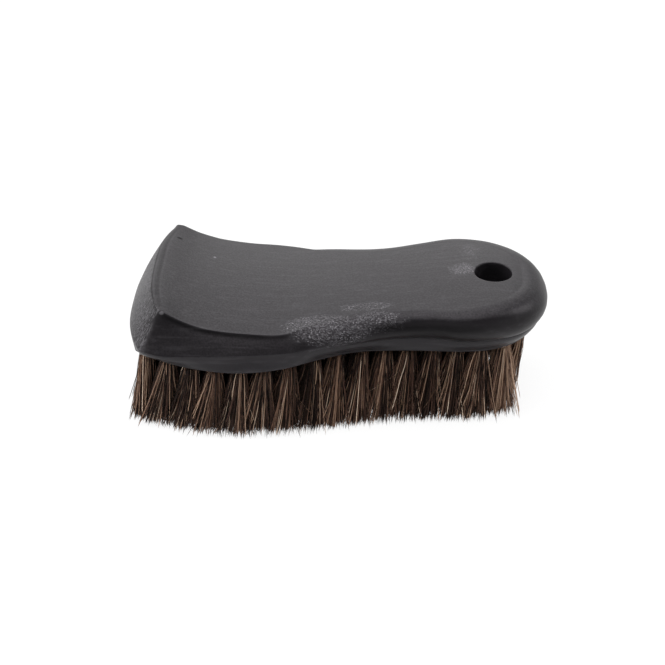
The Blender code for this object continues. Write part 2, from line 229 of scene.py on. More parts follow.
# Hair: the root circle of a tuft and how deep in the sole it is, its number of locks, how many hairs
# an outer and an inner tuft have and how far they fan out, how much narrower the fan is towards the
# outside, and how much fuller the tufts beside the hole are. Stray hairs all curl inwards from
# stray_turn_x on. Then come the share of a hair's length and of its thickness at each of its levels,
# and the middle tone of each column from the nose to the tail
root_radius, root_depth = 0.0020, 0.0008
locks = 22
outer_hairs, inner_hairs = (500, 0.0070), (240, 0.0074)
strays_per_tuft, stray_turn_x = 9, 0.045
outer_narrowing, half_column_fullness = 0.62, 1.8
HAIR_LEVELS = ((0.0, 1.0), (0.16, 1.0), (0.34, 1.0), (0.54, 1.0), (0.75, 1.0), (0.95, 0.9))
COLUMN_TONES = (
    0.60, 0.52, 0.46, 0.52, 0.44, 0.48, 0.54, 0.42, 0.52,
    0.48, 0.54, 0.50, 0.46, 0.56, 0.48, 0.66, 0.66,
)

# Shifts that make the outer tufts fill the hair's outline: of tips to their side and to the hole, of
# the end columns' roots to the nose, and of their tips to the brush's middle
side_shift, hole_shift = 0.0024, 0.0022
end_root_shift, nose_tip_shift, tail_tip_shift = 0.0008, 0.0014, 0.0026

# Softboxes, which all face the brush: place, width and depth, and watts
SOFTBOXES = {
    "back_softbox": ((-0.25, 0.85, 0.75), (1.5, 1.1), 7),
    "top_softbox": ((0.0, -0.42, 1.06), (1.6, 1.0), 14.5),
    "overhead_softbox": ((0.0, 0.25, 1.10), (1.5, 0.5), 6),
    "left_softbox": ((-1.0, 0.0, 0.6), (0.7, 0.7), 12),
    "right_softbox": ((1.0, -0.1, 0.5), (0.6, 0.6), 6),
}
lit_point = Vector((0, 0, 0.03))

# The photograph's camera
camera_place = Vector((0.01504, -0.54373, 0.37013))
camera_yaw, camera_tilt = math.radians(-1.87), math.radians(32.61)
image_width, focal_pixels, sensor_mm = 665, 1600, 36


def add_object(name, data):
    made = bpy.data.objects.new(name, data)
    bpy.context.scene.collection.objects.link(made)
    return made


# Outlines


def smooth(knots, values, at):
    """A smooth curve through the values at the knots, read at the places given."""
    knots, values, at = (np.asarray(item, float) for item in (knots, values, at))
    steps = np.diff(knots)
    slopes = np.diff(values) / steps
    tangents = np.empty(len(knots))
    tangents[0], tangents[-1] = slopes[0], slopes[-1]
    weight = steps[1:] / (steps[:-1] + steps[1:])
    tangents[1:-1] = weight * slopes[:-1] + (1 - weight) * slopes[1:]
    index = np.clip(np.searchsorted(knots, at, side="right") - 1, 0, len(knots) - 2)
    span = steps[index]
    share = (at - knots[index]) / span
    start = (1 + 2 * share) * (1 - share) ** 2 * values[index]
    leave = share * (1 - share) ** 2 * span * tangents[index]
    end = share**2 * (3 - 2 * share) * values[index + 1]
    arrive = share**2 * (share - 1) * span * tangents[index + 1]
    return start + leave + end + arrive


def bell(distance, width):
    """1 at no distance, falling off smoothly to nearly 0 at twice the width."""
    return np.exp(-((distance / width) ** 2))


def spaced(length, fine, coarse, fine_run):
    """Places from 0 to a length: fine steps at the start, growing to coarse ones."""
    places, step = [0.0], fine
    while places[-1] < length:
        if places[-1] >= fine_run:
            step = min(step * 1.25, coarse)
        places.append(places[-1] + step)
    return np.array(places) * (length / places[-1])


def seam_stations():
    """Place along the brush and half width of each of the seam's stations."""
    halves = np.array([nose_width, waist_width, tail_width]) / 2
    return [(row[0] * half_length, float(np.dot(row[1:], halves))) for row in SEAM]


def shifted_stations(shares, offset):
    """The seam's stations moved to the rear and inwards by their shares of an offset."""
    stations = zip(seam_stations(), shares)
    return [(x + row[0] * offset, w - row[1] * offset) for (x, w), row in stations]


def half_outline(tip_x, stations):
    """One side of an outline, from its front tip round the corner station to its rear tip."""
    corner_x, corner_w = stations[0]
    share = 1 - spaced(1.0, *front_steps)[:0:-1]
    front = np.column_stack([tip_x + (corner_x - tip_x) * share**front_power, corner_w * share])
    seam = np.array(seam_stations())
    run = np.concatenate([[0], np.cumsum(np.hypot(*np.diff(seam, axis=0).T))])
    run = np.append(run, 2 * run[-1] - run[-2])
    at = spaced(run[-2], *side_steps)
    before_tip = stations[-2]
    xs = [x for x, _ in stations] + [before_tip[0]]
    ws = [w for _, w in stations] + [-before_tip[1]]
    side = np.column_stack([smooth(run, xs, at), smooth(run, ws, at)])
    side[-1, 1] = 0
    return np.vstack([front, side])


def around(half):
    """Both sides of a half outline as one closed loop: from the nose along the near side, and back."""
    near = np.column_stack([half[:, 0], -half[:, 1]])
    far = np.column_stack([half[-2:0:-1, 0], half[-2:0:-1, 1]])
    return np.vstack([near, far])


def mirrored(values):
    """Values of a half outline's points, for the points of the loop."""
    return np.concatenate([values, values[-2:0:-1]])


def outward(loop):
    """Unit normals of a loop that runs from the nose along the near side."""
    along = np.roll(loop, -1, axis=0) - np.roll(loop, 1, axis=0)
    along /= np.linalg.norm(along, axis=1)[:, None]
    return np.column_stack([along[:, 1], -along[:, 0]])


def with_z(loop, z):
    return np.column_stack([loop, np.broadcast_to(z, len(loop))])


def on_top(loop):
    """A loop laid on the top face, which dips at the waist and falls off a little to its sides."""
    x, y = loop.T
    rises = np.array([nose_rise, waist_rise, tail_rise])
    middle = smooth([row[0] * half_length for row in TOP], [np.dot(row[1:], rises) for row in TOP], x)
    crown = np.clip((x - TOP[0][0] * half_length) / crown_run, 0, 1) * crown_drop
    return with_z(loop, seam_z + (middle - crown * (y / (nose_width / 2)) ** 2))


seam_half = half_outline(-half_length, seam_stations())
rim_half = half_outline(-half_length + rim_setback, shifted_stations(RIM, rim_offset))
sole_half = half_outline(-half_length + sole_setback, shifted_stations(SOLE, sole_offset))
seam_loop, rim_loop, sole_loop = around(seam_half), around(rim_half), around(sole_half)
front_count = len(spaced(1.0, *front_steps)) - 1
past_corner = np.arange(len(seam_half)) - front_count


def hub(radius):
    """Where each point of the loop heads for across the body: a middle line, then round the hole."""
    start, turn_x = middle_start_x, hole_x - middle_end_gap
    xs, ws = rim_half.T
    stretch = (hole_x - radius - start) / (turn_x - start)
    line_x = start + np.clip(xs - start, 0, turn_x - start) * stretch
    angle = np.arctan2(ws, xs - hole_x)
    first = angle[np.searchsorted(xs[front_count:], turn_x) + front_count]
    angle = np.clip(angle / first, 0, 1) * math.pi
    behind = xs > turn_x
    place = np.column_stack([line_x, np.zeros(len(xs))])
    circle = np.column_stack([hole_x + radius * np.cos(angle), radius * np.sin(angle)])
    place[behind] = circle[behind]
    return around(place), mirrored(behind)


# Body


def relax(rows, rounds, weight):
    """Rounds the edges that cross a grid's rows, and leaves its flat runs as they are."""
    for _ in range(rounds):
        before, after = rows[:-2], rows[2:]
        back = np.linalg.norm(rows[1:-1] - before, axis=2, keepdims=True) + 1e-9
        ahead = np.linalg.norm(after - rows[1:-1], axis=2, keepdims=True) + 1e-9
        middle = (before * ahead + after * back) / (back + ahead)
        rows = rows.copy()
        rows[1:-1] += 0.5 * weight[1:-1, :, None] * (middle - rows[1:-1])
    return rows


def relax_along(rows, rounds, weight):
    """Rounds the edges that run up a grid, such as those at the body's corners."""
    return np.swapaxes(relax(np.swapaxes(rows, 0, 1), rounds, np.swapaxes(weight, 0, 1)), 0, 1)


def bevelled(rows, rim_row, weight, width):
    """Cuts the rim's edge off in a flat strip, from a width below the rim to the same width past it."""
    rows = rows.copy()
    from_rim = np.linalg.norm(rows - rows[rim_row], axis=2)
    sign = np.where(np.arange(len(rows)) < rim_row, -1, 1)
    for column in np.flatnonzero(weight > 0):
        run = from_rim[:, column] * sign
        inside = np.flatnonzero(np.abs(run) < width * weight[column])
        if len(inside):
            first, last = inside[0] - 1, inside[-1] + 1
            share = (run[inside] - run[first]) / (run[last] - run[first])
            start, end = rows[first, column], rows[last, column]
            rows[inside, column] = start + (end - start) * share[:, None]
    return rows


def blunted(rows, tip):
    """Shifts the tip of a corner where three faces meet, and rounds it off as the photograph shows it."""
    near = bell(np.linalg.norm(rows - tip, axis=2), tip_reach)
    rows = rows + near[:, :, None] * np.array(tip_shift)
    up = np.array([0.0, math.sin(camera_tilt), math.cos(camera_tilt)])
    rise = (rows - tip) @ up
    at_tip = near > 0.01
    over = np.where(at_tip, np.maximum(rise - rise[at_tip].max() + tip_depth, 0), 0)
    return rows - (over**2 / (2 * tip_depth))[:, :, None] * up


def closed_body(name, rows, rings, on_hole, painted_shading):
    """A closed mesh of rows that run from the hole, round the outside and back, and of the hole's wall.

    Each point of the rows has its painted shading: above 0 where shade is painted, below 0 where light is
    painted.
    """
    count = len(rows[0])
    following = (np.arange(count) + 1) % count
    points = list(np.vstack(rows))
    faces = []
    for level in range(len(rows) - 1):
        low, high = level * count, (level + 1) * count
        for index, after in enumerate(following):
            faces.append((low + index, low + after, high + after, high + index))
    wall = [(len(rows) - 1) * count + np.arange(count)]
    for ring in rings:
        wall.append(len(points) + np.arange(count))
        points.extend(ring)
    wall.append(np.arange(count))
    for lower, upper in zip(wall, wall[1:]):
        for index, after in enumerate(following):
            if on_hole[index] or on_hole[after]:
                faces.append((lower[index], lower[after], upper[after], upper[index]))
    values = np.zeros(len(points))
    values[: painted_shading.size] = painted_shading.reshape(-1)
    return welded_object(name, np.array(points), faces, values)


def welded_object(name, points, faces, painted_shading):
    """A mesh object with its coincident points joined and its empty and doubled faces left out."""
    keys = np.round(points * 1e6 / 2).astype(np.int64)
    _, first, inverse = np.unique(keys, axis=0, return_index=True, return_inverse=True)
    inverse = inverse.reshape(-1)
    used, clean = set(), []
    for face in faces:
        corners = list(dict.fromkeys(int(inverse[corner]) for corner in face))
        if len(corners) > 2 and frozenset(corners) not in used:
            used.add(frozenset(corners))
            clean.append(corners)
    kept = sorted({corner for face in clean for corner in face})
    order = {place: index for index, place in enumerate(kept)}
    data = bpy.data.meshes.new(name)
    data.from_pydata(points[first][kept].tolist(), [], [[order[c] for c in face] for face in clean])
    data.validate()
    add_point_values(data, "painted_shading", painted_shading[first][kept])
    data.shade_smooth()
    return add_object(name, data)


def add_point_values(data, name, values):
    attribute = data.attributes.new(name, "FLOAT", "POINT")
    attribute.data.foreach_set("value", values.astype(np.float32))


def inwards(loop, targets, distances):
    """Rows that run from a loop towards its targets: at distances from it, then in even shares."""
    length = np.linalg.norm(targets - loop, axis=1)[:, None]
    shares = [np.minimum(run / length, 0.36 * run / distances[-1]) for run in distances]
    return [loop + (targets - loop) * share for share in shares]


def grip_flank(roundness, faceted, fullness):
    """The grip's rows from its foot at the seam up to the rim of its top face, and the shade and light
    painted on them.

    Where the shoulder is round, a curve takes over from the straight facet. The facet has a cove below
    its crease and bulges a little at the nose.
    """
    out = with_z(outward(seam_loop), 0)
    x = seam_loop[:, :1]
    foot, rim = with_z(seam_loop, seam_z + seam_gap), on_top(rim_loop)
    length = np.linalg.norm(rim - foot, axis=1)[:, None]
    shares = [1 - np.minimum(run / length, 0.62) for run in np.array(FLANK_MM) * 1e-3]
    shares += [shares[-1] * part for part in FLANK_PARTS]
    fade = np.clip(roundness / facet_fade, 0, 1)
    mix = fade**2 * (3 - 2 * fade)
    low = foot + roundness * (out * shoulder_bulge) + [0, 0, shoulder_lift]
    high = rim + roundness * (out * shoulder_reach)
    rows, painted_shading = [], []
    for share in shares[::-1]:
        depth = (1 - share) * length
        cove = cove_depth * (depth / cove_place) * np.exp(1 - depth / cove_place) * faceted
        bulge = fullness * nose_bulge * np.sin(math.pi * share)
        straight = foot + (rim - foot) * share + out * (bulge - cove)
        curved = (
            (1 - share) ** 3 * foot
            + 3 * (1 - share) ** 2 * share * low
            + 3 * (1 - share) * share**2 * high
            + share**3 * rim
        )
        rows.append(straight + (curved - straight) * mix)

        # Painted shade: the dark line below a crease, the dark band round a shoulder and the dark strip
        # below the nose's rim.
        # Painted light: a highlight on the rim's edge, and a paler foot of a shoulder
        crease_shade = 0.8 * bell(depth - 0.0013, 0.0010) * faceted * (1 - mix)
        crease_shade *= np.clip((-0.020 - x) / 0.014, 0.35, 1)
        shoulder_shade = bell(share - 0.50, 0.14) * np.clip(mix * 1.6 - 0.4, 0, 1)
        shoulder_shade *= np.clip((0.070 - x) / 0.025, 0.25, 1) * np.clip((x - 0.009) / 0.009, 0, 1)
        nose_rim_shade = 0.9 * bell(depth - 0.0015, 0.0004) * (fullness > 0.3)
        rim_highlight = 0.6 * bell(depth, 0.0006) * faceted
        foot_light = 0.9 * bell(share, 0.08) * mix
        painted_shading.append((np.maximum(crease_shade, shoulder_shade) + nose_rim_shade - rim_highlight - foot_light)[:, 0])
    return rows, painted_shading


def hole_rings(lip_z):
    """The rings of the hole's wall in the grip: round its fillet, then down to the seam."""
    rings = []
    for angle in np.radians((18, 36, 54, 72, 90)):
        ring, _ = hub(hole_radius + hole_fillet * (1 - math.sin(angle)))
        rings.append(with_z(ring, lip_z - hole_fillet * (1 - math.cos(angle))))
    wall, top_z = rings[-1][:, :2], rings[-1][:, 2]
    down = seam_z + seam_gap - top_z
    return rings + [with_z(wall, top_z + down * part) for part in (0.3, 0.6, 0.9)]


def make_grip():
    """The upper moulding, with its bevelled nose rim, its facets and shoulders, and its hanging hole."""
    # For each point of the loop: how round its shoulder is, how much it is on a side and on the nose,
    # how much the nose bulges there, and how much it is on a side's flat facet
    seam_x = [x for x, _ in seam_stations()]
    roundness = np.clip(smooth(seam_x, [row[2] for row in RIM], seam_half[:, 0]), 0, None)
    roundness = mirrored(roundness)
    on_side = mirrored(np.clip((past_corner - 4) / 18, 0, 1))
    on_nose = mirrored(np.clip((1 - past_corner) / 26, 0, 1))
    fullness = mirrored(np.clip(-past_corner / front_count, 0, 1)) ** 0.5
    faceted = np.clip(1 - roundness / 0.62, 0, 1) ** 0.8 * on_side

    # The rows, from the hole under the grip to its foot, up the flank, and over the top to the hole
    inner, _ = hub(hole_radius)
    under = [seam_loop + (inner - seam_loop) * part for part in UNDER_PARTS]
    lip = seam_loop - outward(seam_loop) * lip_inset
    flank, flank_shading = grip_flank(roundness[:, None], faceted[:, None], fullness[:, None])
    targets, on_hole = hub(hole_radius + hole_fillet)
    top = inwards(rim_loop, targets, np.array(TOP_MM) * 1e-3)
    top += [rim_loop + (targets - rim_loop) * part for part in TOP_PARTS]
    rows = [with_z(place, seam_z + seam_gap) for place in under]
    rows += [with_z(lip, seam_z + seam_gap - lip_drop)] + flank + [on_top(place) for place in top]
    rows = np.array(rows)
    foot_row = len(under) + 1
    rim_row = foot_row + len(flank) - 1

    # Creases are softened a little, the nose's rim is cut off, and then the body's corners are rounded
    from_rim = np.linalg.norm(rows - rows[rim_row], axis=2)
    flat = np.clip(1 - roundness / 0.5, 0, 1)
    rows = relax(rows, crease_rounds, np.clip(1.6 - from_rim / 0.0012, 0, 1) * flat)
    rows = bevelled(rows, rim_row, on_nose, bevel_width)
    rows = relax(rows, bevel_rounds, (from_rim < 0.003) * on_nose)
    at_corner = np.zeros(rows.shape[:2])
    at_corner[foot_row : rim_row + 12] = mirrored(bell(past_corner, 12.0))
    rows = relax_along(rows, grip_corner_rounds, at_corner)
    rows = blunted(rows, rows[rim_row, len(seam_loop) - front_count])

    # Painted shade and light: the flank's own, then on the top a painted highlight along the facets' rim,
    # painted shade behind the nose's bevel and a painted highlight past it
    painted_shading = np.zeros(rows.shape[:2])
    painted_shading[foot_row : rim_row + 1] = flank_shading
    painted_shading[rim_row + 1 : rim_row + 7] = -0.6 * bell(from_rim[rim_row + 1 : rim_row + 7], 0.0008) * faceted
    painted_shading[rim_row + 1 : rim_row + 9] += 0.35 * on_nose
    painted_shading[rim_row + 9] -= 0.25 * on_nose
    return closed_body("grip_body", rows, hole_rings(rows[-1][:, 2]), on_hole, painted_shading)


def make_block():
    """The lower moulding: the flat sole, its rounded edge, the wall up to the seam and the hole's end."""
    inner, on_hole = hub(hole_radius)
    out = outward(sole_loop)
    rows = []
    for part in SOLE_PARTS:
        edge = sole_loop - out * sole_edge_radius
        rows.append(with_z(edge + (inner - edge) * part, hair_length))
    for angle in np.radians(SOLE_TURNS):
        ring = sole_loop - out * sole_edge_radius * (1 - math.sin(angle))
        rows.append(with_z(ring, hair_length + sole_edge_radius * (1 - math.cos(angle))))
    low_z, high_z = hair_length + sole_edge_radius, seam_z - seam_gap
    for share in WALL_SHARES:
        ring = sole_loop + (seam_loop - sole_loop) * math.sin(share * math.pi / 2)
        rows.append(with_z(ring, low_z + (high_z - low_z) * share))
    for part in SEAT_PARTS:
        rows.append(with_z(seam_loop + (inner - seam_loop) * part, high_z))
    rows = np.array(rows)
    edge_row, seat_row = len(SOLE_PARTS), len(rows) - len(SEAT_PARTS)
    at_corner = np.zeros(rows.shape[:2])
    at_corner[edge_row : seat_row + 1] = mirrored(bell(past_corner, 9.0))
    rows = relax_along(rows, block_corner_rounds, at_corner)
    rings = [with_z(inner, hair_length + (high_z - hair_length) * part) for part in (0.66, 0.33)]
    painted_shading = np.zeros(rows.shape[:2])
    # The sole's rounded edge and the wall up to the seam are painted paler: painted light
    painted_shading[edge_row:seat_row] = -0.3
    return closed_body("block_body", rows, rings, on_hole, painted_shading)


# Materials. Noise scales are per metre


def new_material(name):
    material = bpy.data.materials.new(name)
    material.use_nodes = True
    tree = material.node_tree
    return material, tree, tree.nodes["Principled BSDF"]


def fill(tree, made, inputs):
    """Sets a node's inputs to values, or links them to sockets."""
    for socket, value in inputs.items():
        if isinstance(value, bpy.types.NodeSocket):
            tree.links.new(value, made.inputs[socket])
        else:
            made.inputs[socket].default_value = value


def node(tree, kind, inputs=None, **settings):
    made = tree.nodes.new(kind)
    for name, value in settings.items():
        setattr(made, name, value)
    fill(tree, made, inputs or {})
    return made


def maths(tree, operation, *values):
    return node(tree, "ShaderNodeMath", dict(enumerate(values)), operation=operation).outputs[0]


def chained(tree, operation, value, *others):
    for other in others:
        value = maths(tree, operation, value, other)
    return value


def total(tree, *values):
    return chained(tree, "ADD", *values)


def product(tree, *values):
    return chained(tree, "MULTIPLY", *values)


def largest(tree, *values):
    return chained(tree, "MAXIMUM", *values)


def vector_maths(tree, operation, *values):
    made = node(tree, "ShaderNodeVectorMath", dict(enumerate(values)), operation=operation)
    return made.outputs["Value" if operation == "LENGTH" else "Vector"]


def ramp(tree, factor, stops):
    made = node(tree, "ShaderNodeValToRGB", {"Fac": factor})
    line = made.color_ramp
    while len(line.elements) < len(stops):
        line.elements.new(0.5)
    for element, (place, colour) in zip(line.elements, stops):
        element.position = place
        element.color = (*colour, 1)
    return made.outputs["Color"]


def mixed(tree, factor, first, second):
    inputs = {0: factor, 6: first, 7: second}
    return node(tree, "ShaderNodeMix", inputs, data_type="RGBA").outputs[2]


def mapped(tree, value, low, high, to_low=0.0, to_high=1.0, **settings):
    """The value's run from low to high, as a run between two others."""
    inputs = {"Value": value, "From Min": low, "From Max": high, "To Min": to_low, "To Max": to_high}
    return node(tree, "ShaderNodeMapRange", inputs, **settings).outputs["Result"]


def between(tree, value, low, high):
    """0 below the low value and 1 above the high one, or the other way round, with a soft step."""
    return mapped(tree, value, low, high, interpolation_type="SMOOTHSTEP")


def noise(tree, place, scale, detail, stretch=(1, 1, 1)):
    stretched = vector_maths(tree, "MULTIPLY", place, stretch)
    inputs = {"Vector": stretched, "Scale": scale, "Detail": detail, "Roughness": 0.6}
    return node(tree, "ShaderNodeTexNoise", inputs).outputs["Fac"]


def blobs(tree, place, marks):
    """Soft ellipsoids: their strength in their cores, fading to 0 at their reaches."""
    found = []
    for centre, reach, core, strength in marks:
        offset = vector_maths(tree, "SUBTRACT", place, [value / 1000 for value in centre])
        scaled = vector_maths(tree, "MULTIPLY", offset, [1000 / value for value in reach])
        length = vector_maths(tree, "LENGTH", scaled)
        found.append(product(tree, between(tree, length, 1.0, core), strength))
    return largest(tree, *found)


def mottled(tree, mask, clouds, swing, low, high):
    """A soft mask that noise breaks up, and that stays inside its outline."""
    uneven = total(tree, mask, maths(tree, "MULTIPLY_ADD", clouds, 2 * swing, -swing))
    return product(tree, between(tree, uneven, low, high), between(tree, mask, 0.0, 0.2))


def end_facet(tree, place, facing):
    """1 on the facet at the nose's end, which looks forwards and up, and 0 on the sides and the top."""
    along = node(tree, "ShaderNodeSeparateXYZ", {0: place}).outputs["X"]
    sideways = maths(tree, "ABSOLUTE", facing.outputs["Y"])
    upwards = facing.outputs["Z"]
    return product(
        tree,
        between(tree, along, -0.036, -0.068),
        between(tree, upwards, 0.30, 0.45),
        between(tree, sideways, 0.75, 0.50),
        between(tree, upwards, 0.85, 0.70),
    )


def black_plastic():
    """Satin black plastic: fine grain, lengthwise rubbing, a worn patch at the waist, small marks, and
    painted shade and highlights.
    """
    material, tree, shader = new_material("moulded black plastic")
    place = node(tree, "ShaderNodeTexCoord").outputs["Object"]
    normal = node(tree, "ShaderNodeNewGeometry").outputs["Normal"]
    facing = node(tree, "ShaderNodeSeparateXYZ", {0: normal})
    grain = noise(tree, place, 1400, detail=3)
    specks = noise(tree, place, 1500, detail=2)
    coarse = noise(tree, place, 420, detail=4)
    cloud = noise(tree, place, 55, detail=4)
    streaks = noise(tree, place, 650, detail=4, stretch=(0.06, 1.0, 1.0))
    wrinkled = noise(tree, place, 1500, detail=4, stretch=(0.7, 1.0, 1.3))
    frosted = noise(tree, place, 1500, detail=2, stretch=(0.4, 1.0, 0.4))

    # Pale wear, dust, frost, a pale speck and painted highlights: where it is 1, the plastic is as pale as
    # it gets
    nose = end_facet(tree, place, facing)
    worn = mottled(tree, blobs(tree, place, WORN_PATCH), coarse, 0.7, 0.15, 0.85)
    scuffed = mottled(tree, blobs(tree, place, SCUFF), coarse, 0.6, 0.1, 1.0)
    sheen = product(tree, between(tree, wrinkled, 0.45, 0.62), 0.24)
    flecks = product(tree, between(tree, specks, 0.58, 0.72), 0.85)
    scratches = maths(tree, "MULTIPLY_ADD", between(tree, specks, 0.46, 0.66), 0.42, 0.05)
    worn_light = product(tree, worn, total(tree, sheen, flecks))
    scuff_light = product(tree, scuffed, scratches)
    rubbing = product(tree, between(tree, streaks, 0.48, 0.75), 0.055)
    upwards = between(tree, facing.outputs["Z"], 0.1, 1.0)
    dust = product(tree, between(tree, grain, 0.35, 0.70), upwards, 0.07)
    frost = product(tree, nose, between(tree, frosted, 0.46, 0.62), 0.26)
    marks = blobs(tree, place, SPECK_AND_HIGHLIGHTS)
    light = total(tree, worn_light, scuff_light, rubbing, dust, frost, marks)
    light = maths(tree, "MINIMUM", light, 1.0)

    # Painted shade darkens creases, a shoulder's band and the nose's rim, with a small dark spot on the
    # top; painted light makes edges and the block's wall paler
    shading_value = node(tree, "ShaderNodeAttribute", attribute_name="painted_shading").outputs["Fac"]
    shade_and_spot = largest(tree, shading_value, blobs(tree, place, DARK_SPOTS), 0.0)
    edge = largest(tree, product(tree, shading_value, -1.0), 0.0)
    colour = mixed(tree, light, ramp(tree, cloud, BLACKS), WEAR_AND_HIGHLIGHT_BLACK)
    colour = mixed(tree, product(tree, edge, 0.35), colour, PAINTED_LIGHT_BLACK)
    colour = mixed(tree, product(tree, shade_and_spot, 0.7), colour, SHADE_AND_SPOT_BLACK)

    # The grain is fine all over, and rough where the plastic is worn and on the nose's end
    fine = node(tree, "ShaderNodeBump", {"Strength": 0.35, "Distance": 0.0001, "Height": grain})
    height = maths(tree, "MULTIPLY_ADD", nose, maths(tree, "SUBTRACT", frosted, wrinkled), wrinkled)
    rugged = node(
        tree,
        "ShaderNodeBump",
        {
            "Strength": largest(tree, worn, nose),
            "Distance": 0.0005,
            "Height": height,
            "Normal": fine.outputs["Normal"],
        },
    )
    roughness = mapped(tree, cloud, 0.3, 0.7, to_low=0.33, to_high=0.39)
    fill(
        tree,
        shader,
        {
            "Base Color": colour,
            "Roughness": total(tree, roughness, product(tree, light, 0.25)),
            "Specular IOR Level": maths(tree, "MULTIPLY_ADD", shade_and_spot, -0.11, 0.155),
            "Specular Tint": (1.0, 0.94, 1.0, 1),
            "Normal": rugged.outputs["Normal"],
        },
    )
    return material


def horsehair():
    """Dark brown hair, whose tone differs from hair to hair."""
    material, tree, shader = new_material("horsehair")
    tone = node(tree, "ShaderNodeAttribute", attribute_name="tone").outputs["Fac"]
    colour = ramp(tree, tone, HAIR_COLOURS)
    fill(tree, shader, {"Base Color": colour, "Roughness": 0.42, "Specular IOR Level": 0.13})
    return material


# Hair


def widest_near(half, x):
    """The largest half width of an outline within a tuft's radius of a place along the brush."""
    reach = np.linspace(x - tuft_radius, x + tuft_radius, 7)
    return float(np.max(np.interp(reach, half[:, 0], half[:, 1], left=0, right=0)))


def inset(half, distance):
    """A half outline moved inwards by a distance, or by one for each of its points."""
    normals = outward(around(half))[: len(half)] * [1, -1]
    moved = half - np.reshape(distance, (-1, 1)) * normals
    moved[0, 1] = moved[-1, 1] = 0
    return moved


def column_edges(front, rear):
    """Where the columns' slices of the pocket begin and end. One edge is at the hole's middle."""
    ahead = max(1, round((hole_x - front) / column_pitch - end_slack))
    behind = max(1, round((rear - hole_x) / column_pitch + end_slack))
    inner = [hole_x + step * column_pitch for step in range(1 - ahead, behind)]
    return [front - fit_gap] + inner + [rear + fit_gap]


def tuft_columns():
    """Each column's number and its name's ending, and the root and the tip of the middle of its tufts.

    A column that meets the hole's island is in two halves, near and far.
    """
    pocket = inset(sole_half, rim_wall + fit_gap)
    roots_half = inset(sole_half, rim_wall + fit_gap + root_inset)
    spread = smooth(
        [row[0] * half_length for row in HAIR_SPREAD],
        [row[1] * hair_spread for row in HAIR_SPREAD],
        sole_half[:, 0],
    )
    tips_half = inset(sole_half, tip_inset - spread)
    edges = column_edges(pocket[0, 0], pocket[-1, 0])
    xs, ws = roots_half.T
    inner = island_half + fit_gap + root_inset
    columns = []
    for number, (start, end) in enumerate(zip(edges, edges[1:]), start=1):
        split = start < hole_x + island_half and end > hole_x - island_half
        middle = min(max((start + end) / 2, xs[0]), xs[-1])
        width = widest_near(roots_half, middle)
        for ending in ("_near", "_far") if split else ("",):
            if split:
                count = int(max(width - inner, 0) / tuft_pitch) + 1
                ys = np.linspace(inner, width, count) if count > 1 else np.array([max(width, inner)])
                ys = -ys if ending == "_near" else ys
            else:
                count = int(2 * width / tuft_pitch) + 1
                ys = np.linspace(-width, width, count) if count > 1 else np.zeros(1)
            front_x = np.interp(np.abs(ys), ws[: front_count + 1], xs[: front_count + 1])
            share = (middle - xs[0]) / (xs[-1] - xs[0])
            tip_x = tips_half[0, 0] + share * (tips_half[-1, 0] - tips_half[0, 0])
            stretch = max(widest_near(tips_half, tip_x) / max(width, inner), 1)
            places = [((max(middle, x), y), (tip_x, y * stretch)) for x, y in zip(front_x, ys)]
            columns.append((number, ending, places))
    return columns


def sway(share):
    """How much of its wave a hair is out of its line, from its root at 0 to its tip at 1."""
    return math.sin(math.pi * share) + 0.4 * math.sin(2.7 * math.pi * share)


def hair_object(name, roots, tips, bend, wave, radius, tone):
    """One mesh of thin three-sided hairs, each closed at its root and drawn out to a point."""
    count = len(roots)
    own = len(HAIR_LEVELS) * 3 + 1
    points = np.empty((count, own, 3))
    turn = np.linspace(0, 2 * math.pi, count, endpoint=False)[:, None] * 7.31
    turn = turn + np.arange(3) * 2 * math.pi / 3
    for level, (share, taper) in enumerate(HAIR_LEVELS):
        lean = (share**bend)[:, None]
        middle = roots[:, :2] + (tips[:, :2] - roots[:, :2]) * lean + wave * sway(share)
        ring = points[:, level * 3 : level * 3 + 3]
        thick = (radius * taper)[:, None]
        ring[:, :, 0] = middle[:, :1] + thick * np.cos(turn)
        ring[:, :, 1] = middle[:, 1:] + thick * np.sin(turn)
        ring[:, :, 2] = (roots[:, 2] + (tips[:, 2] - roots[:, 2]) * share)[:, None]
    points[:, -1] = tips
    points[:, -1, :2] += wave * sway(1.0)

    sides = ((0, 1), (1, 2), (2, 0))
    last = (len(HAIR_LEVELS) - 1) * 3
    quads = [(a + i, a + 3 + i, a + 3 + j, a + j) for a in range(0, last, 3) for i, j in sides]
    triangles = [(last + i, own - 1, last + j) for i, j in sides] + [(0, 1, 2)]
    base = (np.arange(count) * own)[:, None, None]
    quads = (np.array(quads)[None] + base).reshape(-1, 4)
    triangles = (np.array(triangles)[None] + base).reshape(-1, 3)
    data = bpy.data.meshes.new(name)
    data.vertices.add(count * own)
    data.vertices.foreach_set("co", points.reshape(-1))
    loops = np.concatenate([quads.reshape(-1), triangles.reshape(-1)])
    sizes = np.concatenate([np.full(len(quads), 4), np.full(len(triangles), 3)])
    data.loops.add(len(loops))
    data.loops.foreach_set("vertex_index", loops)
    data.polygons.add(len(sizes))
    data.polygons.foreach_set("loop_start", np.concatenate([[0], np.cumsum(sizes)[:-1]]))
    data.polygons.foreach_set("loop_total", sizes)
    data.update(calc_edges=True)
    data.validate()
    add_point_values(data, "tone", np.repeat(tone, own))
    data.shade_smooth()
    return add_object(name, data)


def rooted(roots):
    """Roots just inside the sole."""
    return np.column_stack([roots, np.full(len(roots), hair_length + root_depth)])


